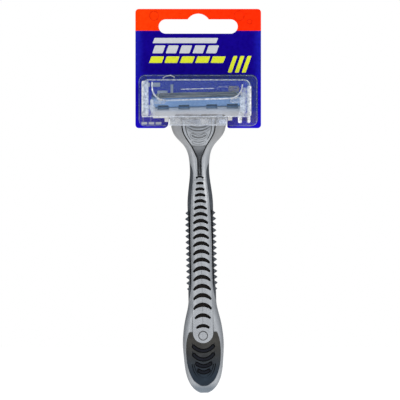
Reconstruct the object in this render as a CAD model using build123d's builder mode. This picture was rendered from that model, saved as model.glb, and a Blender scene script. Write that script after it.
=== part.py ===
from build123d import *
from math import cos, radians, sin
import os

# A three-blade pivoting-head razor, hanging by its retail card in a clear blister.
# Frame, in millimetres: the origin is the middle of the hang slot, on the back face of the card.
# +Z is up, the front of the card faces -Y, and everything lies in front of the card's back face.
# "Depth" is the distance in front of that face, so a point at depth d has y = -d.

os.makedirs("parts", exist_ok=True)

# ---- driving dimensions ----
CARD_WIDTH = 57.2
CARD_TOP = 8.0
CARD_BOTTOM = -46.3
CARD_THICKNESS = 0.5
CARD_CORNER = 1.6
SLOT_WIDTH = 36.0
SLOT_HEIGHT = 6.5
SLOT_HUMP_WIDTH = 9.6
SLOT_HUMP_RISE = 2.6
NOTCH_LEFT = -13.6
NOTCH_RIGHT = 13.2
NOTCH_TOP = -41.3
NOTCH_LEFT_RADIUS = 2.3
NOTCH_RIGHT_RADIUS = 1.0

BUBBLE_CENTRE = -1.0
BUBBLE_HALF_WIDTH = 25.0
BUBBLE_TOP = -23.6
BUBBLE_BOTTOM = -41.3
BUBBLE_DEPTH = 19.0
BUBBLE_WALL = 0.45
BUBBLE_DRAFT = 3.0
POCKET_HALF_WIDTH = 21.2
POCKET_BOTTOM = -33.8
POCKET_CORNER = 6.0
POCKET_DEPTH = 2.0
FLANGE_HALF_WIDTH = 27.2
FLANGE_TOP = -21.8
FLANGE_BOTTOM = -45.5
FLANGE_THICKNESS = 0.35
FLAP_HALF_WIDTH = 13.4
FLAP_BOTTOM = -45.3
RIB_BOTTOM = -44.1

PIVOT_Z = -41.0
PIVOT_DEPTH = 6.0
PIVOT_RADIUS = 1.0
PIVOT_CLEARANCE = 0.05
ARM_END_RADIUS = 1.9
ARM_OUTER = 12.9
PIN_END = 15.2

HEAD_ANGLE = 30.0
HEAD_HALF_WIDTH = 21.0
BLADE_COUNT = 3
BLADE_PITCH = 1.4
BLADE_HALF_LENGTH = 18.6
BLADE_TILT = 21.5

FRAME_FOOT = 2.4
FRAME_HEAD = 10.5
FRAME_BACK = -1.0
FRAME_FACE = 2.6
CAVITY_FOOT = 4.2
CAVITY_HEAD = 8.8
CAVITY_FLOOR = -0.2
CAVITY_HALF_WIDTH = 19.4
RINSE_CENTRES = (-15.8, -6.4, 6.2, 15.5)
RINSE_WIDTH = 5.0
CLIP_INNER = 17.6
CLIP_WIDTH = 1.2
CLIP_GAUGE = 0.3
CLIP_END = -0.6
CLIP_FACE = 3.35
EAR_INNER = 13.35
EAR_WIDTH = 2.0
EAR_RADIUS = 2.2
FIRST_BLADE = 4.5
BLADE_EDGE = 2.9

SEAT_LEAN = -1.25
SEAT_Z = -38.0

FORWARD = (0, -1, 0)

# Handle stations, top to bottom: height, half width, depth of the front, depth of the back.
HANDLE_STATIONS = [
    (-41.0, 12.9, 8.0, 4.0),
    (-45.0, 12.5, 7.8, 3.1),
    (-48.5, 11.5, 7.3, 2.2),
    (-51.5, 9.3, 6.9, 1.5),
    (-54.0, 7.0, 6.7, 1.0),
    (-57.0, 5.4, 6.6, 0.7),
    (-61.0, 4.6, 6.8, 0.5),
    (-66.5, 4.4, 7.2, 0.4),
    (-73.0, 5.1, 8.0, 0.3),
    (-80.0, 5.8, 8.6, 0.3),
    (-87.0, 5.7, 9.0, 0.3),
    (-94.0, 5.6, 9.2, 0.3),
    (-101.0, 5.6, 9.3, 0.3),
    (-108.0, 5.6, 9.3, 0.3),
    (-115.0, 5.8, 9.3, 0.3),
    (-121.0, 6.3, 9.2, 0.3),
    (-126.0, 6.4, 9.0, 0.4),
    (-132.0, 7.7, 8.8, 0.6),
    (-139.0, 8.95, 8.6, 0.9),
    (-145.5, 9.3, 8.4, 1.2),
    (-152.0, 8.9, 8.2, 1.6),
    (-158.0, 8.1, 7.9, 2.1),
    (-162.5, 6.4, 7.4, 2.7),
    (-165.2, 4.2, 6.8, 3.4),
    (-166.6, 1.9, 5.9, 4.3),
]
NECK_STATIONS = HANDLE_STATIONS[:9]
HANDLE_ROUNDING = 0.94

# The tongue's right edge above its stem.
TONGUE_EDGE = [(7.3, -42.4), (7.15, -46.0), (6.5, -48.8), (5.0, -51.5), (2.5, -55.6), (1.0, -59.0)]

WINDOW_COUNT = 19
WINDOW_FIRST = -71.4
WINDOW_END = 0.85
WINDOW_CORNER = 0.3
SPINE_RISE = 0.45
SPINE_END = -139.4
SPINE_END_RADIUS = 4.6
GATE_Z = -140.6
GATE_RADIUS = 2.2

TOOTH_COUNT = 14
TOOTH_FIRST = -84.9
TOOTH_PITCH = 2.65
TOOTH_ROOT = 5.45
TOOTH_TIP = 7.1
TOOTH_DEPTHS = (2.2, 7.6)

HORN_TOP = -139.0
PAD_CENTRE = -150.2
PAD_HALF_WIDTH = 7.8
PAD_PROUD = 0.3
RIDGE_RISE = 0.15
RIDGE_THICKNESS = 1.0
MOAT_WIDTH = 0.45
MOAT_DEPTH = 0.5
# The tail pad's ridges: height, overall width and rise of the ends.
PAD_RIDGES = [(-146.5, 9.7, 2.0), (-150.3, 9.7, 2.2), (-153.9, 7.0, 1.1), (-156.9, 5.3, 0.8)]
PAD_GROOVE_FLOOR = 8.0
PAD_ARCS = [(5.6, 8.8), (4.7, 7.7)]
PAD_ARCS_CENTRE = -152.0
PAD_ARCS_TOP = -153.4
PAD_ARC_LINE = 0.4
GATE_FLOOR = 8.55

TONGUE_GAP = 0.6
TONGUE_HALF_WIDTH = 7.3
STEM_HALF_WIDTH = 0.4
TONGUE_TOP = -42.4
STEM_TOP = -62.5
TONGUE_ROOT = -67.0
KNUCKLE_RADIUS = 1.2
KNUCKLE_DEPTH = 4.9
TONGUE_BACK = 2.6
WEB_THICKNESS = 1.2
WINDOW_SINK = 1.0
PANEL_DEPTH = 2.4
SPINE_FLOOR = 5.0
PAD_FLOOR = 5.4
BACK_PAD_FLOOR = 4.2


# ---- the retail card ----
with BuildPart() as hang_card:
    with BuildSketch(Plane.XZ) as card_outline:
        with Locations((0, (CARD_TOP + CARD_BOTTOM) / 2)):
            RectangleRounded(CARD_WIDTH, CARD_TOP - CARD_BOTTOM, CARD_CORNER)
        SlotOverall(SLOT_WIDTH, SLOT_HEIGHT, mode=Mode.SUBTRACT)
        with BuildLine():
            hump = ThreePointArc(
                (-SLOT_HUMP_WIDTH / 2, SLOT_HEIGHT / 2),
                (0, SLOT_HEIGHT / 2 + SLOT_HUMP_RISE),
                (SLOT_HUMP_WIDTH / 2, SLOT_HEIGHT / 2),
            )
            Polyline(hump @ 1, (SLOT_HUMP_WIDTH / 2, 0), (-SLOT_HUMP_WIDTH / 2, 0), hump @ 0)
        make_face(mode=Mode.SUBTRACT)
        with Locations(((NOTCH_LEFT + NOTCH_RIGHT) / 2, CARD_BOTTOM)):
            Rectangle(NOTCH_RIGHT - NOTCH_LEFT, 2 * (NOTCH_TOP - CARD_BOTTOM), mode=Mode.SUBTRACT)
        for edge_x, radius in ((NOTCH_LEFT, NOTCH_LEFT_RADIUS), (NOTCH_RIGHT, NOTCH_RIGHT_RADIUS)):
            notch_corner = card_outline.vertices().sort_by_distance((edge_x, CARD_BOTTOM))[0]
            fillet(notch_corner, radius)
    extrude(amount=CARD_THICKNESS)


# ---- the clear blister ----
def bubble_block(inset):
    """The bubble as a solid, drawn in by inset on its walled sides; its back and its foot run past."""
    run_past = 1.0 if inset else 0.0
    base = CARD_THICKNESS - run_past
    top = BUBBLE_TOP - inset
    foot = BUBBLE_BOTTOM - 12.0
    front = BUBBLE_DEPTH - inset
    with BuildPart() as block:
        with BuildSketch(Plane.XZ.offset(base)):
            with Locations((BUBBLE_CENTRE, (top + foot) / 2)):
                RectangleRounded(2 * (BUBBLE_HALF_WIDTH - inset), top - foot, 3.0 - inset)
        extrude(amount=front - base, taper=BUBBLE_DRAFT)
        fillet(block.faces().sort_by(Axis.Y)[0].edges(), 2.0 - inset)
        with BuildSketch(Plane.XZ.offset(front + 1)):
            with Locations((BUBBLE_CENTRE, POCKET_BOTTOM + 15 - inset)):
                RectangleRounded(2 * (POCKET_HALF_WIDTH + inset), 30, POCKET_CORNER + inset)
        extrude(amount=-(POCKET_DEPTH + 1), mode=Mode.SUBTRACT)
        with BuildSketch(Plane.XZ.offset(-1)):
            with Locations((BUBBLE_CENTRE, BUBBLE_BOTTOM - 10 - run_past / 10)):
                Rectangle(60, 20)
        extrude(amount=BUBBLE_DEPTH + 2, mode=Mode.SUBTRACT)
    return block.part


with BuildPart() as blister_shell:
    add(bubble_block(0))
    with BuildSketch(Plane.XZ.offset(CARD_THICKNESS)):
        with Locations((0, (FLANGE_TOP + FLANGE_BOTTOM) / 2)):
            RectangleRounded(2 * FLANGE_HALF_WIDTH, FLANGE_TOP - FLANGE_BOTTOM, 3.2)
        with Locations(((NOTCH_LEFT + NOTCH_RIGHT) / 2, FLANGE_BOTTOM)):
            Rectangle(NOTCH_RIGHT - NOTCH_LEFT, 2 * (NOTCH_TOP - FLANGE_BOTTOM), mode=Mode.SUBTRACT)
    extrude(amount=FLANGE_THICKNESS)
    with BuildSketch(Plane.XZ.offset(BUBBLE_DEPTH)):
        with Locations((0, (BUBBLE_BOTTOM + FLAP_BOTTOM + 1) / 2)):
            Rectangle(2 * FLAP_HALF_WIDTH, BUBBLE_BOTTOM - FLAP_BOTTOM + 1)
    extrude(amount=-BUBBLE_WALL)
    add(bubble_block(BUBBLE_WALL), mode=Mode.SUBTRACT)
    with BuildSketch(Plane.XZ.offset(BUBBLE_DEPTH - BUBBLE_WALL / 2)):
        with Locations([(x, (RIB_BOTTOM - 39.0) / 2) for x in (-24.9, -21.5, 19.5, 22.0)]):
            Rectangle(0.5, -39.0 - RIB_BOTTOM)
    extrude(amount=-4.0)


# ---- the handle's envelope, which its mouldings share ----
def handle_envelope(front=0.0, back=0.0, stations=HANDLE_STATIONS):
    """The handle's outer form, grown by front towards the viewer and by back towards the card."""
    with BuildPart() as envelope:
        for height, half_width, front_depth, back_depth in stations:
            near = front_depth + front
            far = back_depth - back
            with BuildSketch(Plane.XY.offset(height)):
                with Locations((0, -(near + far) / 2)):
                    corner = HANDLE_ROUNDING * min(half_width, (near - far) / 2)
                    RectangleRounded(2 * half_width, near - far, corner)
        loft()
    return envelope.part


def front_depth(height):
    """The depth of the handle's front at a height, in a straight line between its stations."""
    for upper, lower in zip(HANDLE_STATIONS, HANDLE_STATIONS[1:]):
        if lower[0] <= height <= upper[0]:
            share = (upper[0] - height) / (upper[0] - lower[0])
            return upper[2] + share * (lower[2] - upper[2])


def behind(outline, form):
    """The part of a form that lies behind one outline drawn in the plane of the card."""
    with BuildPart() as piece:
        add(form)
        add(outline)
        extrude(amount=12, dir=FORWARD, mode=Mode.INTERSECT)
    return piece.part


def window_height(index):
    """The windows' spacing opens out towards the tail."""
    return WINDOW_FIRST - 2.55 * index - 0.059 * index**2


def window_width(index):
    """Narrow under the neck, widest above the tail, and narrower again at the last two."""
    if index <= 9:
        return 3.7 + 3.8 * sin(radians(10 * index))
    if index <= 16:
        return 7.5 + 0.15 * (index - 9)
    return 8.5 - 1.1 * (index - 16)


def arch(height, width, rise, thickness):
    """The middle line of a thick arc of this overall width; a negative rise turns its ends up."""
    half = (width - thickness) / 2
    ends = height - rise / 2
    return Edge.make_three_point_arc((-half, ends), (0, height + rise / 2), (half, ends))


with BuildSketch(Plane.XZ) as window_outlines:
    for window in range(WINDOW_COUNT):
        half = window_width(window) / 2
        overall = 0.9 + 0.0358 * (2 * half) ** 2
        crown = window_height(window) + overall / 2
        foot = crown - overall
        middle = 0.8 + 0.33 * overall
        with BuildLine():
            upper = ThreePointArc((-half, foot + WINDOW_END), (0, crown), (half, foot + WINDOW_END))
            lower = ThreePointArc((half - 0.35, foot), (0, crown - middle), (0.35 - half, foot))
            Line(upper @ 1, lower @ 0)
            Line(lower @ 1, upper @ 0)
        make_face()
    fillet(window_outlines.vertices(), WINDOW_CORNER)

with BuildSketch(Plane.XZ) as side_zone:
    with BuildLine():
        inner = Spline(
            (4.9, -61.5),
            (3.0, -66.5),
            (3.3, -71.0),
            (4.1, -80.0),
            (4.75, -95.0),
            (4.75, -112.0),
            (5.1, -120.0),
            (6.6, -125.6),
        )
        Polyline(inner @ 1, (9.0, -125.6), (9.0, -61.5), inner @ 0)
    make_face()

with BuildSketch(Plane.XZ) as spine_outline:
    with BuildLine():
        right_edge = Spline(
            (2.9, -70.0), (3.7, -85.0), (4.2, -105.0), (4.5, -125.0), (SPINE_END_RADIUS, SPINE_END)
        )
        mirror(right_edge, about=Plane.YZ)
        RadiusArc(right_edge @ 1, (-SPINE_END_RADIUS, SPINE_END), SPINE_END_RADIUS)
        Line(right_edge @ 0, (-2.9, -70.0))
    make_face()

with BuildSketch(Plane.XZ) as pad_outline:
    with BuildLine():
        pad_edge = Spline(
            (6.4, HORN_TOP), (7.4, -142.5), (PAD_HALF_WIDTH, -149.5), (7.25, -154.5), (5.9, -158.6),
            (4.1, -161.4), (2.1, -162.9), (0, -163.4),
            tangents=((0.3, -1), (-1, 0))
        )
        mirror(pad_edge, about=Plane.YZ)
        Line(pad_edge @ 0, (-6.4, HORN_TOP))
    make_face()
    with Locations((0, SPINE_END)):
        Circle(SPINE_END_RADIUS, mode=Mode.SUBTRACT)
    fillet(pad_outline.vertices().group_by(Axis.Y)[-1], 0.75)


def tongue_outline(gap, root):
    """The spring tongue's outline, widened by a gap on both sides, with its stem running down to a root."""
    stem = STEM_HALF_WIDTH + gap
    with BuildSketch(Plane.XZ) as outline:
        with BuildLine():
            points = [(x + gap, z) for x, z in TONGUE_EDGE] + [(stem, STEM_TOP)]
            edge = Spline(points, tangents=((0, -1), (0, -1)))
            Polyline(edge @ 1, (stem, root), (-stem, root), (-stem, STEM_TOP))
            mirror(edge, about=Plane.YZ)
            Line(edge @ 0, (-TONGUE_HALF_WIDTH - gap, TONGUE_TOP))
        make_face()
    return outline


tongue_zone = tongue_outline(0, TONGUE_ROOT)

with BuildSketch(Plane.XZ) as tongue_pocket:
    add(tongue_outline(TONGUE_GAP, TONGUE_ROOT - 1.85).sketch_local)
    with Locations((0, TONGUE_TOP + 2)):
        Rectangle(2 * (TONGUE_HALF_WIDTH + TONGUE_GAP), 4)
    eye_x = STEM_HALF_WIDTH + TONGUE_GAP + 0.3
    with Locations((-eye_x, TONGUE_ROOT - 1.85), (eye_x, TONGUE_ROOT - 1.85)):
        Circle(0.5)

with BuildSketch(Plane.XZ) as panel_outline:
    with BuildLine():
        panel_edge = Spline(
            (2.2, -70.2), (3.3, -76.0), (4.0, -90.0), (4.1, -112.0), (5.1, -124.0), (4.6, -134.0)
        )
        mirror(panel_edge, about=Plane.YZ)
        RadiusArc(panel_edge @ 1, (-4.6, -134.0), 4.8)
        Line(panel_edge @ 0, (-2.2, -70.2))
    make_face()

with BuildSketch(Plane.XZ) as tongue_rib_outlines:
    for height, width, rise in ((-44.3, 12.0, 2.0), (-45.9, 11.8, 1.9), (-47.3, 11.0, 1.9), (-53.0, 5.9, 0.6)):
        SlotArc(arch(height, width, -rise, 0.8), 0.8)
    SlotArc(arch(-50.2, 7.6, -0.9, 1.9), 1.9)
    SlotArc(arch(-50.2, 6.5, -0.9, 0.7), 0.7, mode=Mode.SUBTRACT)

with BuildSketch(Plane.XZ) as tongue_border:
    with BuildLine():
        outer_line = Spline([(x - 1.05, z) for x, z in TONGUE_EDGE[:4]])
        inner_line = Spline([(x - 1.4, z) for x, z in TONGUE_EDGE[:4]])
        Line(outer_line @ 0, inner_line @ 0)
        Line(outer_line @ 1, inner_line @ 1)
    make_face()

with BuildSketch(Plane.XZ) as tongue_recess:
    with Locations((0, -59.1)):
        Rectangle(14, 9.6)

with BuildSketch(Plane.XZ) as back_pad_outline:
    with Locations((0, PAD_CENTRE - 0.5)):
        Ellipse(6.6, 10.6)

# ---- the handle's mouldings ----
outer_form = handle_envelope()
spine_form = handle_envelope(front=SPINE_RISE)
pad_form = handle_envelope(front=PAD_PROUD, back=PAD_PROUD)
recess_form = handle_envelope(front=-1.0, back=2.0, stations=NECK_STATIONS)
tongue_form = handle_envelope(front=0.2, back=-TONGUE_BACK, stations=NECK_STATIONS)
groove_form = handle_envelope(front=-0.2, back=2.0, stations=NECK_STATIONS)
pocket_form = handle_envelope(front=3.0, back=-WEB_THICKNESS, stations=NECK_STATIONS)

with BuildPart() as side_grip_right:
    add(behind(side_zone.sketch, outer_form))
    with BuildSketch(Plane.XZ.offset(TOOTH_DEPTHS[0])):
        for tooth in range(TOOTH_COUNT):
            flank = TOOTH_PITCH / 2 - 0.1
            crest = TOOTH_TIP - TOOTH_ROOT - (0.25 if tooth in (0, TOOTH_COUNT - 1) else 0.0)
            with Locations((TOOTH_ROOT, TOOTH_FIRST - TOOTH_PITCH * tooth)):
                corners = [(0, flank), (crest - 0.3, 0.3), (crest, 0), (crest - 0.3, -0.3), (0, -flank)]
                Polygon(*corners, align=None)
    extrude(amount=TOOTH_DEPTHS[1] - TOOTH_DEPTHS[0])

side_grip_left = mirror(side_grip_right.part, about=Plane.YZ)

with BuildPart() as window_plugs:
    for window, outline in enumerate(window_outlines.sketch.faces().sort_by(Axis.Z, reverse=True)):
        add(Pos(0, -PANEL_DEPTH, 0) * outline)
        extrude(amount=front_depth(window_height(window)) - WINDOW_SINK - PANEL_DEPTH, dir=FORWARD)

with BuildPart() as back_grip:
    add(behind(panel_outline.sketch, outer_form))
    with BuildSketch(Plane.XZ.offset(PANEL_DEPTH)):
        with Locations((0, -100)):
            Rectangle(40, 100)
    extrude(amount=12, mode=Mode.SUBTRACT)
    add(window_plugs.part)

with BuildPart() as tail_pad:
    add(behind(pad_outline.sketch, pad_form))
    for height, width, rise in PAD_RIDGES:
        surface = front_depth(height) + PAD_PROUD
        moat_size = RIDGE_THICKNESS + 2 * MOAT_WIDTH
        with BuildSketch(Plane.XZ.offset(surface - MOAT_DEPTH)):
            SlotArc(arch(height, width + 2 * MOAT_WIDTH, -rise, moat_size), moat_size)
        extrude(amount=3, mode=Mode.SUBTRACT)
        with BuildSketch(Plane.XZ.offset(PAD_FLOOR)):
            SlotArc(arch(height, width, -rise, RIDGE_THICKNESS), RIDGE_THICKNESS)
        extrude(amount=surface + RIDGE_RISE - PAD_FLOOR)
    with BuildSketch(Plane.XZ.offset(PAD_FLOOR)):
        with Locations((0, PAD_CENTRE)):
            Rectangle(40, 40)
    extrude(amount=-12, mode=Mode.SUBTRACT)
    with BuildSketch(Plane.XZ.offset(PAD_GROOVE_FLOOR)):
        with Locations((0, PAD_ARCS_CENTRE)):
            for half_width, half_height in PAD_ARCS:
                Ellipse(half_width, half_height)
                Ellipse(half_width - PAD_ARC_LINE, half_height - PAD_ARC_LINE, mode=Mode.SUBTRACT)
        with Locations((0, PAD_ARCS_TOP + 20)):
            Rectangle(20, 40, mode=Mode.SUBTRACT)
    extrude(amount=4, mode=Mode.SUBTRACT)

with BuildPart() as tail_back_pad:
    add(behind(back_pad_outline.sketch, pad_form))
    with BuildSketch(Plane.XZ.offset(BACK_PAD_FLOOR)):
        with Locations((0, PAD_CENTRE)):
            Rectangle(40, 40)
    extrude(amount=12, mode=Mode.SUBTRACT)

with BuildPart() as spine:
    add(behind(spine_outline.sketch, spine_form))
    with BuildSketch(Plane.XZ):
        with Locations((0, SPINE_END + 30)):
            Rectangle(40, 140)
    extrude(amount=SPINE_FLOOR, mode=Mode.SUBTRACT)

with BuildPart() as handle_core:
    add(outer_form)
    add(behind(tongue_pocket.sketch, pocket_form), mode=Mode.SUBTRACT)
    add(side_zone.sketch)
    add(mirror(side_zone.sketch, about=Plane.YZ))
    extrude(amount=12, dir=FORWARD, mode=Mode.SUBTRACT)
    add(spine.part)
    add(Pos(0, -PANEL_DEPTH, 0) * window_outlines.sketch)
    extrude(amount=12, dir=FORWARD, mode=Mode.SUBTRACT)
    add(panel_outline.sketch)
    extrude(amount=PANEL_DEPTH, dir=FORWARD, mode=Mode.SUBTRACT)
    add(Pos(0, -PAD_FLOOR, 0) * pad_outline.sketch)
    extrude(amount=12, dir=FORWARD, mode=Mode.SUBTRACT)
    add(back_pad_outline.sketch)
    extrude(amount=BACK_PAD_FLOOR, dir=FORWARD, mode=Mode.SUBTRACT)
    with BuildSketch(Plane.XZ.offset(GATE_FLOOR)):
        with Locations((0, GATE_Z)):
            Circle(GATE_RADIUS)
            Circle(GATE_RADIUS - 0.45, mode=Mode.SUBTRACT)
    extrude(amount=2, mode=Mode.SUBTRACT)
    arm_inner = TONGUE_HALF_WIDTH + TONGUE_GAP
    for side in (1, -1):
        for start, end, radius in ((arm_inner, ARM_OUTER, ARM_END_RADIUS), (ARM_OUTER, PIN_END, PIVOT_RADIUS)):
            with BuildSketch(Plane.YZ.offset(side * start)):
                with Locations((-PIVOT_DEPTH, PIVOT_Z)):
                    Circle(radius)
            extrude(amount=side * (end - start))

with BuildPart() as tongue_hollow:
    add(behind(tongue_recess.sketch, pocket_form))
    add(recess_form, mode=Mode.SUBTRACT)

with BuildPart() as tongue_grooves:
    add(behind(tongue_border.sketch, pocket_form))
    add(groove_form, mode=Mode.SUBTRACT)
    mirror(about=Plane.YZ)

with BuildPart() as spring_tongue:
    add(behind(tongue_zone.sketch, tongue_form))
    add(tongue_grooves.part, mode=Mode.SUBTRACT)
    for rib in tongue_rib_outlines.sketch.faces():
        add(Pos(0, -6.6, 0) * rib)
        extrude(amount=front_depth(rib.center().Z) + 0.65 - 6.6, dir=FORWARD)
    add(tongue_hollow.part, mode=Mode.SUBTRACT)
    with BuildSketch(Plane.YZ):
        with Locations((-KNUCKLE_DEPTH, TONGUE_ROOT - 0.6)):
            Circle(KNUCKLE_RADIUS)
    extrude(amount=STEM_HALF_WIDTH + TONGUE_GAP - 0.03, both=True)

# ---- the cartridge, in its own tilted frame about the pivot ----
PIVOT = Vector(0, -PIVOT_DEPTH, PIVOT_Z)
HEAD_UP = Vector(0, -sin(radians(HEAD_ANGLE)), cos(radians(HEAD_ANGLE)))
# In the plan, local y runs up the head and the normal points out of its back.
# In the section, local x runs up the head and local y points out of its face.
head_plan = Plane(origin=PIVOT, x_dir=(1, 0, 0), z_dir=Vector(1, 0, 0).cross(HEAD_UP))
head_section = Plane(origin=PIVOT, x_dir=HEAD_UP, z_dir=(-1, 0, 0))

with BuildPart() as cartridge_frame:
    with BuildSketch(head_section):
        with BuildLine():
            Polyline(
                (FRAME_FOOT, FRAME_BACK + 0.5), (FRAME_FOOT + 0.5, FRAME_BACK), (FRAME_HEAD - 0.6, FRAME_BACK),
                (FRAME_HEAD, FRAME_BACK + 0.6), (FRAME_HEAD, FRAME_FACE), (FRAME_FOOT, FRAME_FACE), close=True
            )
        make_face()
    extrude(amount=HEAD_HALF_WIDTH, both=True)
    with BuildSketch(head_plan.offset(-FRAME_FACE)):
        with Locations((0, (CAVITY_FOOT + CAVITY_HEAD) / 2)):
            RectangleRounded(2 * CAVITY_HALF_WIDTH, CAVITY_HEAD - CAVITY_FOOT, 0.4)
    extrude(amount=FRAME_FACE - CAVITY_FLOOR, mode=Mode.SUBTRACT)
    with BuildSketch(head_plan):
        with Locations([(x, 5.95) for x in RINSE_CENTRES]):
            RectangleRounded(RINSE_WIDTH, 1.4, 0.4)
    extrude(amount=2, mode=Mode.SUBTRACT)
    for side in (1, -1):
        with BuildSketch(head_section.offset(-side * CLIP_INNER)):
            for groove in (FRAME_FOOT + CLIP_GAUGE / 2, FRAME_HEAD - CLIP_GAUGE / 2):
                with Locations((groove, (CLIP_END + FRAME_FACE) / 2)):
                    Rectangle(CLIP_GAUGE, FRAME_FACE - CLIP_END)
        extrude(amount=-side * CLIP_WIDTH, mode=Mode.SUBTRACT)

with BuildPart() as bearing_bridge:
    with BuildSketch(head_section):
        with BuildLine():
            Polyline(
                (5.5, FRAME_BACK), (5.5, -1.9), (4.6, -2.6), (1.8, -3.2), (1.2, -3.0), (1.2, -2.4),
                (2.6, -2.2), (2.6, FRAME_BACK), close=True
            )
        make_face()
    extrude(amount=HEAD_HALF_WIDTH - 0.4, both=True)
    for side in (1, -1):
        with BuildSketch(head_section.offset(-side * EAR_INNER)):
            Circle(EAR_RADIUS)
            with Locations((FRAME_FOOT / 2, -0.7)):
                Rectangle(FRAME_FOOT, 3.0)
            with Locations((2.5, -1.6)):
                Rectangle(0.6, 1.2)
            Circle(PIVOT_RADIUS + PIVOT_CLEARANCE, mode=Mode.SUBTRACT)
        extrude(amount=-side * EAR_WIDTH)
    with BuildSketch(head_plan):
        with Locations([(x, 5.35) for x in RINSE_CENTRES]):
            Rectangle(RINSE_WIDTH, 0.9)
    extrude(amount=6, mode=Mode.SUBTRACT)

with BuildPart() as cap_bar:
    with BuildSketch(head_section):
        with BuildLine():
            Polyline(
                (8.9, FRAME_FACE), (FRAME_HEAD, FRAME_FACE), (FRAME_HEAD, -0.9), (11.0, -0.6), (11.0, 2.8),
                (10.7, 3.1), (8.9, 3.1), close=True
            )
        make_face()
    extrude(amount=17.3, both=True)

with BuildPart() as lubricating_strip:
    with BuildSketch(head_section):
        with BuildLine():
            Polyline((9.1, 3.1), (10.65, 3.1), (10.5, 3.4), (9.3, 3.5), close=True)
        make_face()
    extrude(amount=16.6, both=True)

with BuildPart() as guard_fins:
    with BuildSketch(head_section):
        with Locations((3.3, FRAME_FACE + 0.1)):
            Rectangle(1.6, 0.2)
        with Locations([(u, FRAME_FACE + 0.3) for u in (2.65, 3.1, 3.55, 4.0)]):
            Rectangle(0.18, 0.4)
    extrude(amount=17.2, both=True)


def blade_point(edge, along, above):
    """A point of the head's section, along the tilted blade from its edge and above its middle plane."""
    tilt = radians(BLADE_TILT)
    return (edge + along * cos(tilt) + above * sin(tilt), BLADE_EDGE - along * sin(tilt) + above * cos(tilt))


blades = []
for number in range(BLADE_COUNT):
    edge = FIRST_BLADE + BLADE_PITCH * number
    with BuildPart() as blade:
        with BuildSketch(head_section):
            with BuildLine():
                outline = [(0, 0), (0.3, 0.05), (1.3, 0.05), (1.3, -0.05), (0.3, -0.05)]
                Polyline([blade_point(edge, *point) for point in outline], close=True)
            make_face()
        extrude(amount=BLADE_HALF_LENGTH, both=True)
    with BuildPart() as blade_support:
        with BuildSketch(head_section):
            with BuildLine():
                heel = blade_point(edge, 1.3, -0.05)
                Polyline(
                    blade_point(edge, 0.45, -0.05), heel, (heel[0], 0.4), (heel[0] - 0.18, 0.4),
                    (heel[0] - 0.18, heel[1] - 0.12), blade_point(edge, 0.45, -0.21), close=True
                )
            make_face()
        extrude(amount=BLADE_HALF_LENGTH - 0.3, both=True)
    blades.append((blade.part, blade_support.part))

clips = []
for side in (1, -1):
    with BuildPart() as clip:
        with BuildSketch(head_section.offset(-side * CLIP_INNER)):
            with BuildLine():
                inner_foot = FRAME_FOOT + CLIP_GAUGE
                inner_head = FRAME_HEAD - CLIP_GAUGE
                Polyline(
                    (FRAME_FOOT, CLIP_END), (FRAME_FOOT, CLIP_FACE),
                    (FRAME_HEAD, CLIP_FACE), (FRAME_HEAD, CLIP_END),
                    (inner_head, CLIP_END), (inner_head, CLIP_FACE - 0.27),
                    (inner_foot, CLIP_FACE - 0.27), (inner_foot, CLIP_END), close=True
                )
            make_face()
        extrude(amount=-side * CLIP_WIDTH)
    clips.append(clip.part)

# ---- the pieces, with the razor leaning a little in its blister ----
razor = {
    "handle_core": handle_core.part,
    "side_grip_right": side_grip_right.part,
    "side_grip_left": side_grip_left,
    "back_grip": back_grip.part,
    "tail_pad": tail_pad.part,
    "tail_back_pad": tail_back_pad.part,
    "spring_tongue": spring_tongue.part,
    "cartridge_frame": cartridge_frame.part,
    "bearing_bridge": bearing_bridge.part,
    "cap_bar": cap_bar.part,
    "lubricating_strip": lubricating_strip.part,
    "guard_fins": guard_fins.part,
    "clip_right": clips[0],
    "clip_left": clips[1],
}
for number, (blade_part, support_part) in enumerate(blades, start=1):
    razor[f"blade_{number}"] = blade_part
    razor[f"blade_support_{number}"] = support_part

seat_axis = Axis((0, 0, SEAT_Z), (0, 1, 0))
for name, piece in razor.items():
    seated = piece.rotate(seat_axis, SEAT_LEAN)
    seated.label = name
    export_step(seated, f"parts/{name}.step")

hang_card.part.label = "hang_card"
export_step(hang_card.part, "parts/hang_card.step")
blister_shell.part.label = "blister_shell"
export_step(blister_shell.part, "parts/blister_shell.step")
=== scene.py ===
import math

import bmesh
import bpy
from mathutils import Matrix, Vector


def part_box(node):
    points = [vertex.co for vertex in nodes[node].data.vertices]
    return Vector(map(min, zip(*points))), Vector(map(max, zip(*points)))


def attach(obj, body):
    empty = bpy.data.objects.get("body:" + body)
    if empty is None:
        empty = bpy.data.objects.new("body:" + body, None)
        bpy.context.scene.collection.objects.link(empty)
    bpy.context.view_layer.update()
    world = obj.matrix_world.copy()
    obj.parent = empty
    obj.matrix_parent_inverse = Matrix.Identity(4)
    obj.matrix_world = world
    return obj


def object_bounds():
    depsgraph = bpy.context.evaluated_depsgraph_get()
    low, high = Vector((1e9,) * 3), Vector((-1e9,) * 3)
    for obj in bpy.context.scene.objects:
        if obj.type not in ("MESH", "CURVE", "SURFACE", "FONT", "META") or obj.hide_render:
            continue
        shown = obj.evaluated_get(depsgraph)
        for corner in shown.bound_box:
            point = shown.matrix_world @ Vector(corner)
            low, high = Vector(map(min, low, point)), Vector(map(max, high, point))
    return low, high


# A three-blade razor in a clear blister on a printed hang card.
# Everything is in metres, in the frame of the CAD model: +Z up, the card's front towards -Y.

MM = 0.001

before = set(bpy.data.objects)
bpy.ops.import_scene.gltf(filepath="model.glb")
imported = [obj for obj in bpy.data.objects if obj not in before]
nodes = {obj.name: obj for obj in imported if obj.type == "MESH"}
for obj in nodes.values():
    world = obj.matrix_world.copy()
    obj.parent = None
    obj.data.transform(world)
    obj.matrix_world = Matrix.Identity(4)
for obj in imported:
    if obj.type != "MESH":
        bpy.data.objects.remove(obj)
cad_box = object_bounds()

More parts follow.
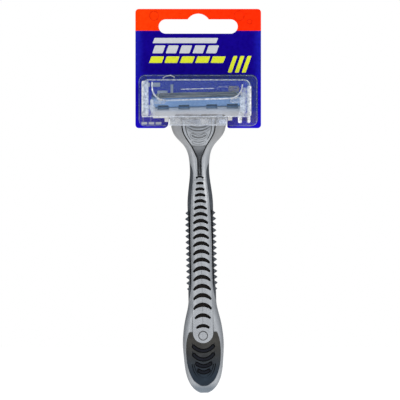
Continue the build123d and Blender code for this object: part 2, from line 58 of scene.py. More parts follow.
card_low, card_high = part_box("hang_card")
blister_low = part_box("blister_shell")[0]


# ---- helpers for node materials ----
def new_material(name):
    """An empty node material and its tree."""
    material = bpy.data.materials.new(name)
    material.use_nodes = True
    material.node_tree.nodes.clear()
    return material, material.node_tree


def add_node(tree, kind, inputs=None, **settings):
    """A node with its settings; each input is a value, or a socket to link from."""
    made = tree.nodes.new(kind)
    for key, value in settings.items():
        setattr(made, key, value)
    for key, value in (inputs or {}).items():
        if isinstance(value, bpy.types.NodeSocket):
            tree.links.new(value, made.inputs[key])
        else:
            made.inputs[key].default_value = value
    return made


def place(tree):
    """The point being shaded, in the CAD frame, as a vector socket."""
    return add_node(tree, "ShaderNodeTexCoord").outputs["Object"]


def split_place(tree):
    """The point's x, y and z sockets."""
    return add_node(tree, "ShaderNodeSeparateXYZ", {"Vector": place(tree)}).outputs


def split_facing(tree):
    """The x, y and z sockets of the way the surface faces."""
    normal = add_node(tree, "ShaderNodeTexCoord").outputs["Normal"]
    return add_node(tree, "ShaderNodeSeparateXYZ", {"Vector": normal}).outputs


def math_node(tree, operation, first, second=0.0):
    """One step of arithmetic."""
    return add_node(tree, "ShaderNodeMath", {0: first, 1: second}, operation=operation).outputs[0]


def remap(tree, value, low, high, new_low=0.0, new_high=1.0):
    """A value's stretch from low to high turned into new_low to new_high, smoothly and clamped."""
    inputs = {"Value": value, "From Min": low, "From Max": high, "To Min": new_low, "To Max": new_high}
    return add_node(tree, "ShaderNodeMapRange", inputs, interpolation_type="SMOOTHSTEP").outputs["Result"]


def mix_colour(tree, factor, first, second, blend="MIX"):
    """Two colours, or colour sockets, mixed."""
    inputs = {"Factor": factor, 6: first, 7: second}
    return add_node(tree, "ShaderNodeMix", inputs, data_type="RGBA", blend_type=blend).outputs[2]


def noise(tree, size, detail=3.0, roughness=0.5, vector=None):
    """Noise whose blotches are about this size, in metres."""
    inputs = {"Vector": vector or place(tree), "Scale": 1 / size, "Detail": detail, "Roughness": roughness}
    return add_node(tree, "ShaderNodeTexNoise", inputs).outputs[0]


def tint(colour, amount):
    """A colour made lighter (over 1) or darker (under 1)."""
    return (colour[0] * amount, colour[1] * amount, colour[2] * amount, 1)


def bumps(tree, *layers, normal=None):
    """Bump nodes in a row; each layer is a height socket, a depth in metres and a strength."""
    for height, depth, strength in layers:
        inputs = {"Height": height, "Distance": depth, "Strength": strength}
        if normal is not None:
            inputs["Normal"] = normal
        normal = add_node(tree, "ShaderNodeBump", inputs).outputs["Normal"]
    return normal


def soft_edges(tree, radius):
    """A normal that rounds the moulding's sharp edges."""
    return add_node(tree, "ShaderNodeBevel", {"Radius": radius}, samples=4).outputs["Normal"]


def shaded_hollows(tree, colour, reach=0.7 * MM, darkest=0.12):
    """A colour with painted shade that darkens it in grooves and corners, where shadow gathers."""
    inputs = {"Distance": reach}
    open_sky = add_node(tree, "ShaderNodeAmbientOcclusion", inputs, samples=8).outputs["AO"]
    shade = remap(tree, open_sky, 0.35, 0.95, darkest, 1.0)
    return mix_colour(tree, 1.0, colour, shade, blend="MULTIPLY")


def flank_shade(tree, darkest=0.68):
    """A factor of painted shade that darkens a moulding a little where its surface turns to the side."""
    sideways, _, _ = split_facing(tree)
    return remap(tree, math_node(tree, "ABSOLUTE", sideways), 0.35, 1.0, 1.0, darkest)


def finish_material(material, tree, shader):
    """Links the shader to the output and returns the material."""
    add_node(tree, "ShaderNodeOutputMaterial", {"Surface": shader})
    return material


def dress(node, material):
    """Gives a CAD node its material."""
    mesh = nodes[node].data
    mesh.materials.clear()
    mesh.materials.append(material)


# ---- plastics, elastomers and metals ----
def moulded_plastic(name, colour, roughness=0.34, edge=0.12 * MM, coat=0.15, colour_socket=None):
    """Satin moulded plastic: faint flow marks, a fine spark-eroded grain and slightly uneven gloss."""
    material, tree = new_material(name)
    flow = noise(tree, 9 * MM, detail=2)
    grain = noise(tree, 0.35 * MM, detail=4)
    scuff = noise(tree, 2.2 * MM, detail=5, roughness=0.7)
    base = colour_socket(tree) if colour_socket else tint(colour, 1)
    # Painted shade: darker where the surface turns to the side, and in grooves and corners.
    shade = math_node(tree, "MULTIPLY", remap(tree, flow, 0.3, 0.7, 0.93, 1.05), flank_shade(tree))
    toned = shaded_hollows(tree, mix_colour(tree, 1.0, base, shade, blend="MULTIPLY"))
    gloss = remap(tree, scuff, 0.35, 0.75, roughness - 0.05, roughness + 0.09)
    normal = bumps(tree, (grain, 0.012 * MM, 0.35), (flow, 0.05 * MM, 0.2), normal=soft_edges(tree, edge))
    inputs = {
        "Base Color": toned, "Roughness": gloss, "Normal": normal, "IOR": 1.5,
        "Coat Weight": coat, "Coat Roughness": 0.22,
    }
    return finish_material(material, tree, add_node(tree, "ShaderNodeBsdfPrincipled", inputs).outputs[0])


def elastomer(name, colour, roughness=0.58, grain_size=0.28 * MM, shine=0.2, colour_socket=None):
    """Overmoulded elastomer: dull, finely pebbled, with a dusty bloom."""
    material, tree = new_material(name)
    cells = {"Vector": place(tree), "Scale": 1 / grain_size}
    pebbles = add_node(tree, "ShaderNodeTexVoronoi", cells, feature="SMOOTH_F1").outputs["Distance"]
    bloom = noise(tree, 3.5 * MM, detail=5, roughness=0.65)
    base = colour_socket(tree) if colour_socket else tint(colour, 1)
    toned = mix_colour(tree, 1.0, base, remap(tree, bloom, 0.38, 0.72, 0.88, 1.25), blend="MULTIPLY")
    # Painted shade in grooves and corners.
    toned = shaded_hollows(tree, toned, reach=1.0 * MM, darkest=0.03)
    gloss = remap(tree, bloom, 0.3, 0.7, roughness - 0.06, roughness + 0.1)
    normal = bumps(tree, (pebbles, 0.02 * MM, 0.3), normal=soft_edges(tree, 0.1 * MM))
    inputs = {"Base Color": toned, "Roughness": gloss, "Normal": normal, "Specular IOR Level": shine}
    return finish_material(material, tree, add_node(tree, "ShaderNodeBsdfPrincipled", inputs).outputs[0])


def streaked_plastic(name, dark, light, roughness=0.3):
    """Glossy plastic with long uneven streaks of two colours along x."""
    material, tree = new_material(name)
    along = add_node(tree, "ShaderNodeMapping", {"Vector": place(tree), "Scale": (0.06, 1, 1)}).outputs[0]
    streaks = noise(tree, 0.8 * MM, detail=4, roughness=0.6, vector=along)
    toned = mix_colour(tree, remap(tree, streaks, 0.4, 0.68), tint(dark, 1), tint(light, 1))
    gloss = remap(tree, streaks, 0.3, 0.7, roughness, roughness + 0.1)
    normal = bumps(tree, (streaks, 0.02 * MM, 0.3), normal=soft_edges(tree, 0.1 * MM))
    inputs = {"Base Color": toned, "Roughness": gloss, "Normal": normal}
    return finish_material(material, tree, add_node(tree, "ShaderNodeBsdfPrincipled", inputs).outputs[0])


def brushed_metal(name, colour, roughness=0.24, stretch=(0.02, 1, 1), line=0.12 * MM):
    """Strip metal with fine lines along its length."""
    material, tree = new_material(name)
    along = add_node(tree, "ShaderNodeMapping", {"Vector": place(tree), "Scale": stretch}).outputs[0]
    lines = noise(tree, line, detail=3, vector=along)
    toned = mix_colour(tree, remap(tree, lines, 0.35, 0.65), tint(colour, 0.85), tint(colour, 1.1))
    # Painted shade in grooves and corners.
    toned = shaded_hollows(tree, toned, reach=2.0 * MM, darkest=0.03)
    gloss = remap(tree, lines, 0.3, 0.7, roughness - 0.07, roughness + 0.12)
    normal = bumps(tree, (lines, 0.006 * MM, 0.4), normal=soft_edges(tree, 0.05 * MM))
    inputs = {"Base Color": toned, "Metallic": 1.0, "Roughness": gloss, "Normal": normal}
    return finish_material(material, tree, add_node(tree, "ShaderNodeBsdfPrincipled", inputs).outputs[0])


# ---- the printed card ----
BAND_EDGE = -1.95 * MM
CARD_CENTRE = (card_low.x + card_high.x) / 2
BAND_LEFT = (0.80, 0.034, 0.001, 1)
BAND_RIGHT = (0.80, 0.020, 0.001, 1)
INK_BLUE = (0.005, 0.0003, 0.185, 1)
INK_BLUE_EDGE = (0.008, 0.008, 0.30, 1)
INK_BLUE_LOW = (0.009, 0.003, 0.42, 1)
BOARD = (0.66, 0.64, 0.60, 1)
DROP_RED = (0.42, 0.008, 0.001, 1)
# Each drop's x, z and radius in millimetres.
DROPS = ((-20.1, 4.9, 2.1), (18.6, 4.9, 2.3), (23.4, 2.2, 1.1))
DROP_RIM = 0.5
DROP_GLOW = 0.35
# The blue lightens towards the card's sides, by distance off its middle, and towards its foot, by height.
EDGE_BLUE_FROM = 24 * MM
EDGE_BLUE_FULL = 28.6 * MM
LOW_BLUE_FROM = -20 * MM
LOW_BLUE_FULL = -26 * MM


def card_print(tree):
    """The print on the card's front: an orange-red band over deep blue, with three soft round drops."""
    x, _, z = split_place(tree)
    band_colour = mix_colour(tree, remap(tree, x, card_low.x, card_high.x), BAND_LEFT, BAND_RIGHT)
    across = math_node(tree, "ABSOLUTE", math_node(tree, "SUBTRACT", x, CARD_CENTRE))
    blue = mix_colour(tree, remap(tree, across, EDGE_BLUE_FROM, EDGE_BLUE_FULL), INK_BLUE, INK_BLUE_EDGE)
    blue = mix_colour(tree, remap(tree, z, LOW_BLUE_FROM, LOW_BLUE_FULL), blue, INK_BLUE_LOW)
    above_edge = remap(tree, z, BAND_EDGE - 0.08 * MM, BAND_EDGE + 0.08 * MM)
    colour = mix_colour(tree, above_edge, blue, band_colour)
    flat = add_node(tree, "ShaderNodeCombineXYZ", {"X": x, "Z": z}).outputs[0]
    for drop_x, drop_z, radius in DROPS:
        ends = {0: flat, 1: (drop_x * MM, 0, drop_z * MM)}
        reach = add_node(tree, "ShaderNodeVectorMath", ends, operation="DISTANCE").outputs["Value"]
        inner = remap(tree, reach, (radius - DROP_RIM) * MM, radius * MM)
        outer = remap(tree, reach, (radius + DROP_GLOW) * MM, radius * MM)
        ring = math_node(tree, "MULTIPLY", inner, outer)
        colour = mix_colour(tree, math_node(tree, "MULTIPLY", ring, 0.5), colour, DROP_RED)
    return colour


def coated_board(name, front_print, roughness=0.3):
    """Printed board: ink on its front, bare fibre on its edges and back."""
    material, tree = new_material(name)
    _, towards_back, _ = split_facing(tree)
    fibres = noise(tree, 0.22 * MM, detail=5, roughness=0.65)
    mottle = noise(tree, 1.4 * MM, detail=4)
    bare = mix_colour(tree, remap(tree, fibres, 0.3, 0.7), tint(BOARD, 0.92), BOARD)
    uneven = remap(tree, mottle, 0.3, 0.7, 0.9, 1.08)
    inked = mix_colour(tree, 1.0, front_print(tree), uneven, blend="MULTIPLY")
    colour = mix_colour(tree, remap(tree, towards_back, -0.3, -0.5), bare, inked)
    gloss = remap(tree, mottle, 0.3, 0.7, roughness - 0.04, roughness + 0.1)
    normal = bumps(tree, (fibres, 0.01 * MM, 0.25), (mottle, 0.02 * MM, 0.2))
    inputs = {"Base Color": colour, "Roughness": gloss, "Normal": normal, "Specular IOR Level": 0.02}
    return finish_material(material, tree, add_node(tree, "ShaderNodeBsdfPrincipled", inputs).outputs[0])


def ink(name, colour):
    """Solid ink with the board's faint mottle in it."""
    material, tree = new_material(name)
    mottle = noise(tree, 0.5 * MM, detail=4)
    toned = mix_colour(tree, remap(tree, mottle, 0.35, 0.7), tint(colour, 0.9), tint(colour, 1.0))
    gloss = remap(tree, mottle, 0.3, 0.7, 0.28, 0.42)
    inputs = {"Base Color": toned, "Roughness": gloss, "Normal": bumps(tree, (mottle, 0.008 * MM, 0.2))}
    return finish_material(material, tree, add_node(tree, "ShaderNodeBsdfPrincipled", inputs).outputs[0])


# ---- the clear film ----
FILM_WARM = (0.50, 0.48, 0.44, 1)
FILM_BLUE = (0.24, 0.36, 0.50, 1)
FILM_WARM_BELOW = -40 * MM
FILM_BLUE_ABOVE = -38 * MM


def film_shader(material, tree, solid, colour, gloss_noise, normal):
    """See-through film that is solid by this share, with a shiny skin of this colour."""
    clear = add_node(tree, "ShaderNodeBsdfTransparent", {"Color": (0.94, 0.96, 1, 1)}).outputs[0]
    gloss = remap(tree, gloss_noise, 0.3, 0.7, 0.07, 0.18)
    inputs = {"Base Color": colour, "Roughness": gloss, "Normal": normal, "IOR": 1.57}
    skin = add_node(tree, "ShaderNodeBsdfPrincipled", inputs).outputs[0]
    mixed = add_node(tree, "ShaderNodeMixShader", {0: solid, 1: clear, 2: skin}).outputs[0]
    return finish_material(material, tree, mixed)


def clear_film(name):
    """Thermoformed film with draw marks: clear where it is faced, milky at a glancing angle."""
    material, tree = new_material(name)
    draw = noise(tree, 2.6 * MM, detail=3, roughness=0.6)
    scratches = noise(tree, 0.4 * MM, detail=4)
    normal = bumps(tree, (draw, 0.14 * MM, 0.3), (scratches, 0.01 * MM, 0.2))
    glance = add_node(tree, "ShaderNodeLayerWeight", {"Blend": 0.32, "Normal": normal}).outputs["Facing"]
    solid = remap(tree, glance, 0.0, 0.9, 0.09, 0.75)
    _, _, z = split_place(tree)
    colour = mix_colour(tree, remap(tree, z, FILM_WARM_BELOW, FILM_BLUE_ABOVE), FILM_WARM, FILM_BLUE)
    return film_shader(material, tree, solid, colour, draw, normal)


def milky_film(name, least, most, blotch=1.3 * MM, colour=(0.72, 0.74, 0.77, 1)):
    """Film where it folds or thickens, gathering light in uneven milky blotches; also laid on as painted
    highlights, reflections and shade.
    """
    material, tree = new_material(name)
    blotches = noise(tree, blotch, detail=5, roughness=0.65)
    solid = remap(tree, blotches, 0.34, 0.66, least, most)
    normal = bumps(tree, (blotches, 0.2 * MM, 0.5))
    return film_shader(material, tree, solid, colour, blotches, normal)


# ---- colours that change over a moulding, some of them painted shade ----
GREY = (0.27, 0.285, 0.305)
DARK = (0.050, 0.056, 0.065)
NECK_SHADE_GREY = (0.195, 0.199, 0.205)
FOOT_GREY = (0.105, 0.128, 0.155)
WINDOW_BLACK = (0.004, 0.0022, 0.0018)
PAD_TONE = (0.032, 0.036, 0.041)
PAD_WARM = (0.036, 0.035, 0.032)
PAD_COOL = (0.015, 0.023, 0.034)
RIDGE_SHADE_BLACK = (0.004, 0.005, 0.009)
HEAD_BLUE = (0.12, 0.22, 0.40)
SLOT_SHADE_NAVY = (0.02, 0.018, 0.20)
BRIDGE_WHITE = (0.41, 0.405, 0.40)
CAP_DARK = (0.05, 0.045, 0.04)
CAP_STREAK = (0.36, 0.32, 0.25)
STRIP_GREEN = (0.45, 0.56, 0.50)
GUARD_NAVY = (0.03, 0.03, 0.12)
BLADE_STEEL = (0.62, 0.63, 0.65)
SUPPORT_STEEL = (0.42, 0.43, 0.45)
CLIP_METAL = (0.75, 0.76, 0.78)

# The razor's lean, and the heights where its colours change.
SEAT_Z = -38.0 * MM
LEAN_SLOPE = math.tan(math.radians(1.25))
NECK_TOP = -50 * MM
NECK_FOOT = -62 * MM
FOOT_TOP = -161.5 * MM
FOOT_BOTTOM = -165.0 * MM
PAD_WARM_ABOVE = -143 * MM
PAD_COOL_BELOW = -160 * MM
# The tongue's hollow starts at this height, higher off the middle by this much times the distance squared.
HOLLOW_TOP = -54.5 * MM
HOLLOW_SMILE = 80.0
# The head's back wall faces down by this tilt, and its inner side is this far out along the way it faces.
HEAD_TILT = math.radians(30)
HEAD_WALL = 25.9 * MM
# Each smile ridge's height, width and rise in millimetres.
PAD_RIDGES = [(-146.5, 9.7, 2.0), (-150.3, 9.7, 2.2), (-153.9, 7.0, 1.1), (-156.9, 5.3, 0.8)]


def off_middle_line(tree):
    """How far the point is to the side of the razor's leaning middle, in metres."""
    x, _, z = split_place(tree)
    middle = math_node(tree, "MULTIPLY", math_node(tree, "SUBTRACT", SEAT_Z, z), LEAN_SLOPE)
    return math_node(tree, "ABSOLUTE", math_node(tree, "SUBTRACT", x, middle))


def handle_colour(tree):
    """The handle's grey, deeper at the foot and with painted shade up the neck, with a faint broken flow
    line down its middle.
    """
    _, _, z = split_place(tree)
    off_middle = off_middle_line(tree)
    line = remap(tree, off_middle, 0.32 * MM, 0.06 * MM)
    broken = remap(tree, noise(tree, 5 * MM, detail=2), 0.4, 0.6, 0.12, 0.5)
    grey = mix_colour(tree, math_node(tree, "MULTIPLY", line, broken), tint(GREY, 1), tint(GREY, 0.35))
    grey = mix_colour(tree, remap(tree, z, FOOT_TOP, FOOT_BOTTOM), grey, tint(FOOT_GREY, 1))
    # Painted shade: the grey deepens up the neck towards the head.
    return mix_colour(tree, remap(tree, z, NECK_FOOT, NECK_TOP), grey, tint(NECK_SHADE_GREY, 1))


def window_colour(tree):
    """The back grip's dark tone, near black where it shows in the handle's windows."""
    _, y, _ = split_place(tree)
    return mix_colour(tree, remap(tree, y, -2 * MM, -4 * MM), tint(DARK, 1), tint(WINDOW_BLACK, 1))


def pad_colour(tree):
    """The tail pad's tone: warm at its horns, cooler at its foot, and near black painted shade along its
    ridges' outlines.
    """
    _, _, z = split_place(tree)
    lower = remap(tree, z, PAD_WARM_ABOVE, PAD_COOL_BELOW)
    colour = mix_colour(tree, lower, tint(PAD_WARM, 1), tint(PAD_COOL, 1))
    off_middle = off_middle_line(tree)
    # Painted shade: a near black line along each ridge's outline.
    for height, width, rise in PAD_RIDGES:
        share = math_node(tree, "DIVIDE", off_middle, (width - 1) / 2 * MM)
        lift = math_node(tree, "MULTIPLY", math_node(tree, "MULTIPLY", share, share), rise * MM)
        line = math_node(tree, "ADD", lift, (height - rise / 2) * MM)
        away = math_node(tree, "ABSOLUTE", math_node(tree, "SUBTRACT", z, line))
        along = remap(tree, off_middle, (width / 2 + 0.45) * MM, (width / 2 + 0.1) * MM)
        ridge = math_node(tree, "MULTIPLY", remap(tree, away, 1.0 * MM, 0.75 * MM), along)
        colour = mix_colour(tree, math_node(tree, "MULTIPLY", ridge, 0.95), colour, tint(RIDGE_SHADE_BLACK, 1))
    return colour


def tongue_colour(tree):
    """The tongue's grey, with painted shade darkening down the hollow above its stem."""
    _, _, z = split_place(tree)
    off_middle = off_middle_line(tree)
    smile = math_node(tree, "MULTIPLY", math_node(tree, "MULTIPLY", off_middle, off_middle), HOLLOW_SMILE)
    height = math_node(tree, "SUBTRACT", z, smile)
    # Painted shade at the hollow's rim and down into it.
    hollow = remap(tree, height, HOLLOW_TOP + 0.1 * MM, HOLLOW_TOP - 0.3 * MM, 0.0, 0.55)
    depth = remap(tree, height, HOLLOW_TOP, HOLLOW_TOP - 4.5 * MM, 0.0, 0.45)
    return mix_colour(tree, math_node(tree, "ADD", hollow, depth), tint(GREY, 1), tint(DARK, 0.75))


def head_colour(tree):
    """The head's blue on its back wall, and navy painted shade on what lies deeper, seen through the rinse
    slots.
    """
    _, y, z = split_place(tree)
    outward = math_node(tree, "MULTIPLY", y, -math.cos(HEAD_TILT))
    outward = math_node(tree, "ADD", outward, math_node(tree, "MULTIPLY", z, -math.sin(HEAD_TILT)))
    # Painted shade: navy on the surfaces behind the back wall.
    slot_shade = remap(tree, outward, HEAD_WALL, HEAD_WALL - 0.3 * MM)
    return mix_colour(tree, slot_shade, tint(HEAD_BLUE, 1), tint(SLOT_SHADE_NAVY, 1))


handle_grey = moulded_plastic("handle_grey", GREY, colour_socket=handle_colour)
dress("handle_core", handle_grey)
dress("spring_tongue", moulded_plastic("tongue_grey", GREY, colour_socket=tongue_colour))

side_elastomer = elastomer("side_elastomer", DARK)
for grip in ("side_grip_right", "side_grip_left"):
    dress(grip, side_elastomer)
window_elastomer = elastomer(
    "window_elastomer", DARK, roughness=0.35, shine=0.12, colour_socket=window_colour
)
dress("back_grip", window_elastomer)
pad_elastomer = elastomer("pad_elastomer", PAD_TONE, roughness=0.5, shine=0.08, colour_socket=pad_colour)
dress("tail_pad", pad_elastomer)
dress("tail_back_pad", elastomer("back_pad_elastomer", PAD_TONE, roughness=0.55))

head_plastic = moulded_plastic("head_plastic", HEAD_BLUE, roughness=0.4, colour_socket=head_colour)
dress("cartridge_frame", head_plastic)
dress("bearing_bridge", moulded_plastic("bridge_plastic", BRIDGE_WHITE, roughness=0.32))
dress("cap_bar", streaked_plastic("cap_plastic", CAP_DARK, CAP_STREAK))
dress("lubricating_strip", elastomer("strip_polymer", STRIP_GREEN, roughness=0.7, grain_size=0.5 * MM))
dress("guard_fins", elastomer("guard_elastomer", GUARD_NAVY))

blade_steel = brushed_metal("blade_steel", BLADE_STEEL)
support_steel = brushed_metal("support_steel", SUPPORT_STEEL, roughness=0.34)
for number in (1, 2, 3):
    dress(f"blade_{number}", blade_steel)
    dress(f"blade_support_{number}", support_steel)
clip_metal = brushed_metal("clip_metal", CLIP_METAL, roughness=0.2, stretch=(1, 0.05, 0.05))
for clip in ("clip_right", "clip_left"):
    dress(clip, clip_metal)

dress("hang_card", coated_board("printed_board", card_print))
dress("blister_shell", clear_film("clear_film"))


# ---- plain printed shapes in place of the card's words ----
SHAPE_THICKNESS = 0.02 * MM
CARD_FRONT = -card_low.y / MM + 0.004


def slanted_bar(left, right, bottom, top, lean=0.0):
    """The corners of a bar whose ends lean to the right by this much, in millimetres."""
    return [(left, bottom), (right, bottom), (right + lean, top), (left + lean, top)]


def sorted_mesh(name, work):
    """A mesh of the worked shape, with its points and faces in the same order on every run."""
    points = sorted(work.verts, key=lambda point: tuple(point.co))
    rank = {point: number for number, point in enumerate(points)}
    faces = []
    for face in work.faces:
        numbers = [rank[point] for point in face.verts]
        first = numbers.index(min(numbers))
        faces.append(numbers[first:] + numbers[:first])
    mesh = bpy.data.meshes.new(name)
    mesh.from_pydata([tuple(point.co) for point in points], [], sorted(faces))
    return mesh


def flat_shapes(name, outlines, material, depth=CARD_FRONT, rounding=0.35):
    """One piece of thin flat shapes with rounded corners, at a depth in front of the card's back."""
    work = bmesh.new()
    for outline in outlines:
        corners = [work.verts.new((x * MM, -depth * MM, z * MM)) for x, z in outline]
        work.faces.new(corners)
        bmesh.ops.bevel(
            work, geom=corners, offset=rounding * MM, segments=4, affect="VERTICES", profile=0.5
        )
    bmesh.ops.recalc_face_normals(work, faces=work.faces)
    raised = bmesh.ops.extrude_face_region(work, geom=list(work.faces))
    moved = [item for item in raised["geom"] if isinstance(item, bmesh.types.BMVert)]
    bmesh.ops.translate(work, verts=moved, vec=(0, -SHAPE_THICKNESS, 0))
    bmesh.ops.recalc_face_normals(work, faces=work.faces)
    mesh = sorted_mesh(name, work)
    work.free()
    mesh.materials.append(material)
    piece = bpy.data.objects.new(name, mesh)
    bpy.context.scene.collection.objects.link(piece)
    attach(piece, "pack")


white_ink = ink("white_ink", (0.50, 0.51, 0.53))
yellow_ink = ink("yellow_ink", (0.64, 0.68, 0.004))
flat_shapes(
    "white_print",
    [slanted_bar(-20.8, 8.2, -7.6, -5.2, 0.9)]
    + [slanted_bar(-20.9 + 6.1 * bar, -16.2 + 6.1 * bar, -12.2, -8.6, 1.3) for bar in range(5)],
    white_ink,
)
flat_shapes(
    "yellow_print",
    [slanted_bar(-22.4 + 7.0 * bar, -16.6 + 7.0 * bar, -16.6, -13.6, 1.1) for bar in range(5)]
    + [slanted_bar(13.4 + 3.2 * stroke, 15.2 + 3.2 * stroke, -21.0, -13.4, 2.7) for stroke in range(3)],
    yellow_ink,
)
flat_shapes(
    "small_print",
    [slanted_bar(-25.6 + 4.6 * bar, -21.9 + 4.6 * bar, -27.4, -25.6) for bar in range(2)]
    + [slanted_bar(-18.6, -14.0, -31.0, -29.2), slanted_bar(-12.6, -11.4, -31.0, -26.4)]
    + [slanted_bar(-25.8 + 3.2 * bar, -23.2 + 3.2 * bar, -44.6, -43.5) for bar in range(3)],
    white_ink, rounding=0.2,
)

# ---- the film's folds, milky walls and glints, painted as highlights, reflections and shade ----
FILM_FRONT = -blister_low.y / MM
BUBBLE_LEFT = -25.3
BUBBLE_RIGHT = 23.4
BUBBLE_TOP = -24.7
BUBBLE_FOOT = -41.3
highlight_film = milky_film("highlight_film", 0.3, 0.95)
wall_reflection_film = milky_film("wall_reflection_film", 0.32, 1.0, blotch=1.5 * MM, colour=(0.84, 0.82, 0.78, 1))
seam_film = milky_film("seam_film", 0.2, 0.8)
faint_film = milky_film("faint_film", 0.1, 0.45)
haze_film = milky_film("haze_film", 0.05, 0.5, blotch=3 * MM, colour=(0.78, 0.75, 0.68, 1))
shade_film = milky_film("shade_film", 0.15, 0.75, blotch=2 * MM, colour=(0.20, 0.185, 0.16, 1))


def rounded_path(corners, radius):
    """Points along a path of straight runs whose inner corners are arcs of this radius."""
    points = [corners[0]]
    for before, corner, after in zip(corners, corners[1:], corners[2:]):
        here = Vector(corner)
        back = (Vector(before) - here).normalized()
        ahead = (Vector(after) - here).normalized()
        middle = here + (back + ahead).normalized() * radius / math.sin(back.angle(ahead) / 2)
        reach = radius / math.tan(back.angle(ahead) / 2)
        start = (here + back * reach - middle).normalized()
        end = (here + ahead * reach - middle).normalized()
        for step in range(9):
            points.append(tuple(middle + start.slerp(end, step / 8) * radius))
    points.append(corners[-1])
    return points


def film_bead(name, corners, depth, thickness, material, radius=2.6):
    """A thin round bead of film along a path, at a depth in front of the card's back."""
    curve = bpy.data.curves.new(name, "CURVE")
    curve.dimensions = "3D"
    curve.bevel_depth = thickness / 2 * MM
    curve.bevel_resolution = 3
    curve.use_fill_caps = True
    spline = curve.splines.new("POLY")
    points = rounded_path(corners, radius)
    spline.points.add(len(points) - 1)
    for target, (x, z) in zip(spline.points, points):
        target.co = (x * MM, -depth * MM, z * MM, 1)
    curve.materials.append(material)
    bead = bpy.data.objects.new(name, curve)
    bpy.context.scene.collection.objects.link(bead)
    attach(bead, "pack")


# Painted highlight: a milky bead along the pocket's step.
film_bead(
    "pocket_bead", [(-20.9, -25.6), (-20.9, -34.2), (19.9, -32.9), (20.0, -26.6)],
    FILM_FRONT - 1.7, 0.75, highlight_film, radius=6.0,
)
foot_left = (BUBBLE_LEFT, BUBBLE_FOOT)
foot_right = (BUBBLE_RIGHT, BUBBLE_FOOT)
film_bead(
    "bubble_bead", [foot_left, (BUBBLE_LEFT, BUBBLE_TOP), (BUBBLE_RIGHT, BUBBLE_TOP), foot_right],
    FILM_FRONT - 0.9, 0.3, seam_film,
)
# Painted highlights: milky beads along the bubble's foot and the flap's edge.
film_bead("foot_bead", [foot_left, foot_right], FILM_FRONT - 0.3, 0.45, highlight_film)
film_bead("flap_bead", [(-12.9, -45.1), (12.9, -45.1)], FILM_FRONT - 0.25, 0.4, highlight_film)
film_bead(
    "flange_bead",
    [(-14.6, -45.2), (-26.9, -45.2), (-26.9, -22.4), (26.7, -22.4), (26.7, -45.2), (14.2, -45.2)],
    0.7, 0.2, faint_film,
)
# Painted highlights and reflections: glints on the flange and the bubble, and a line of shine across it.
film_bead(
    "glint_left", [(-16.1, -23.5), (-14.7, -22.6), (-12.5, -22.3), (-10.6, -23.2)],
    0.8, 0.5, highlight_film, radius=0.5,
)
film_bead("glint_top", [(-9.4, -24.1), (-8.6, -24.5)], 0.8, 0.4, highlight_film)
film_bead(
    "glint_right", [(8.5, -28.9), (8.9, -27.8), (13.4, -27.9)],
    FILM_FRONT - 1.8, 0.22, faint_film, radius=0.8,
)
film_bead("shine_line", [(-8.0, -28.9), (7.2, -28.5)], FILM_FRONT - 1.8, 0.5, faint_film)
# Painted reflection: milky sheets where the bubble's side walls, seen edge-on, catch the light.
flat_shapes(
    "film_wall_reflections",
    [slanted_bar(-25.6, -22.5, -41.0, -25.2), slanted_bar(-21.6, -20.2, -39.4, -33.4)]
    + [slanted_bar(19.0, 21.5, -39.4, -32.4, -0.2), slanted_bar(22.2, 24.0, -41.0, -27.4)]
    + [slanted_bar(18.0, 19.8, -44.2, -39.6), slanted_bar(22.3, 23.6, -44.2, -41.3)],
    wall_reflection_film, depth=FILM_FRONT - 1.2, rounding=0.65,
)
flat_shapes(
    "corner_haze",
    [slanted_bar(-22.2, -15.0, -35.6, -33.2, 0.6), slanted_bar(14.2, 19.6, -35.2, -32.4, 0.8)]
    + [slanted_bar(-22.6, -19.4, -41.0, -35.8), slanted_bar(19.2, 24.0, -41.0, -28.2)],
    haze_film, depth=FILM_FRONT - 1.3, rounding=0.9,
)
# Painted shade: dark film below the bubble's foot over the neck, and a dark patch at the bubble's right
# side.
flat_shapes(
    "foot_shade",
    [slanted_bar(-10.6, 12.2, -42.4, -40.2), slanted_bar(13.6, 18.6, -30.0, -27.4)],
    shade_film, depth=FILM_FRONT - 2.1, rounding=0.8,
)
flat_shapes(
    "flap_haze", [slanted_bar(-12.9, 12.9, -45.1, -41.4)], haze_film,
    depth=FILM_FRONT - 1.0, rounding=0.4,
)
# Painted highlight on the flap.
flat_shapes(
    "flap_shine", [slanted_bar(9.4, 12.6, -44.8, -42.6)], highlight_film,
    depth=FILM_FRONT - 0.5, rounding=0.7,
)

# ---- floor, light and camera ----
FLOOR_HALF = 3.0
FLOOR_Z = cad_box[0][2] - 0.06
SKY = (0.78, 0.87, 1, 1)
SKY_STRENGTH = 0.1
WHITE = (1, 1, 1, 1)
VIEW_WIDTH = 181.8 * MM
SENSOR = 36.0
LENS = 500.0
VIEW_CENTRE = Vector((0.82 * MM, -5 * MM, -79.0 * MM))


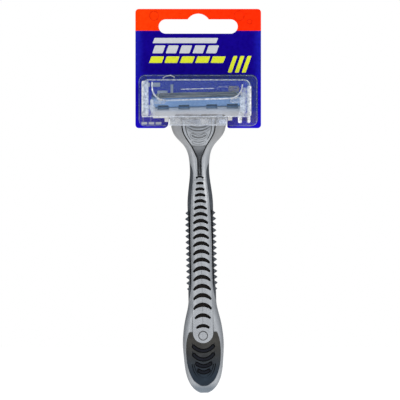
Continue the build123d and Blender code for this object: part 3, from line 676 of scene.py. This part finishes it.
def studio_floor():
    """A plain pale floor, well below the hanging object."""
    mesh = bpy.data.meshes.new("floor")
    corners = [(x * FLOOR_HALF, y * FLOOR_HALF, FLOOR_Z) for x, y in ((-1, -1), (1, -1), (1, 1), (-1, 1))]
    mesh.from_pydata(corners, [], [(0, 1, 2, 3)])
    material, tree = new_material("floor_paint")
    shade = mix_colour(tree, noise(tree, 0.4), (0.90, 0.90, 0.90, 1), (0.93, 0.93, 0.93, 1))
    inputs = {"Base Color": shade, "Roughness": 0.9, "Emission Color": WHITE, "Emission Strength": 1.0}
    paint = add_node(tree, "ShaderNodeBsdfPrincipled", inputs).outputs[0]
    mesh.materials.append(finish_material(material, tree, paint))
    floor = bpy.data.objects.new("floor", mesh)
    bpy.context.scene.collection.objects.link(floor)


def aimed(position, target):
    """The turn that points a lamp or camera from a position at a target."""
    return (Vector(target) - Vector(position)).to_track_quat("-Z", "Y").to_euler()


def softbox(name, position, size, power):
    """A large square soft light aimed at the object."""
    light = bpy.data.lights.new(name, "AREA")
    light.size = size
    light.energy = power
    lamp = bpy.data.objects.new(name, light)
    lamp.location = position
    lamp.rotation_euler = aimed(position, VIEW_CENTRE)
    bpy.context.scene.collection.objects.link(lamp)


def studio_world():
    """White where the camera sees it, and a dimmer soft light on the object."""
    world = bpy.data.worlds.new("studio")
    world.use_nodes = True
    tree = world.node_tree
    tree.nodes.clear()
    seen = add_node(tree, "ShaderNodeBackground", {"Color": WHITE, "Strength": 1.0}).outputs[0]
    sky = {"Color": SKY, "Strength": SKY_STRENGTH}
    lighting = add_node(tree, "ShaderNodeBackground", sky).outputs[0]
    camera_ray = add_node(tree, "ShaderNodeLightPath").outputs["Is Camera Ray"]
    mixed = add_node(tree, "ShaderNodeMixShader", {0: camera_ray, 1: lighting, 2: seen}).outputs[0]
    add_node(tree, "ShaderNodeOutputWorld", {"Surface": mixed})
    bpy.context.scene.world = world


studio_floor()
studio_world()
softbox("key_light", (0.7, -1.2, 0.4), 0.55, 12.5)
softbox("fill_light", (-0.75, -1.15, 0.0), 0.5, 4)
softbox("top_light", (0.0, -0.25, 1.1), 0.5, 2)

camera_data = bpy.data.cameras.new("camera")
camera_data.sensor_width = SENSOR
camera_data.lens = LENS
camera_data.clip_end = 20
camera = bpy.data.objects.new("camera", camera_data)
camera.location = VIEW_CENTRE + Vector((0, -VIEW_WIDTH * LENS / SENSOR, 0))
camera.rotation_euler = (math.radians(90), 0, 0)
bpy.context.scene.collection.objects.link(camera)
bpy.context.scene.camera = camera
bpy.context.scene.view_settings.view_transform = "Standard"

bpy.context.view_layer.update()
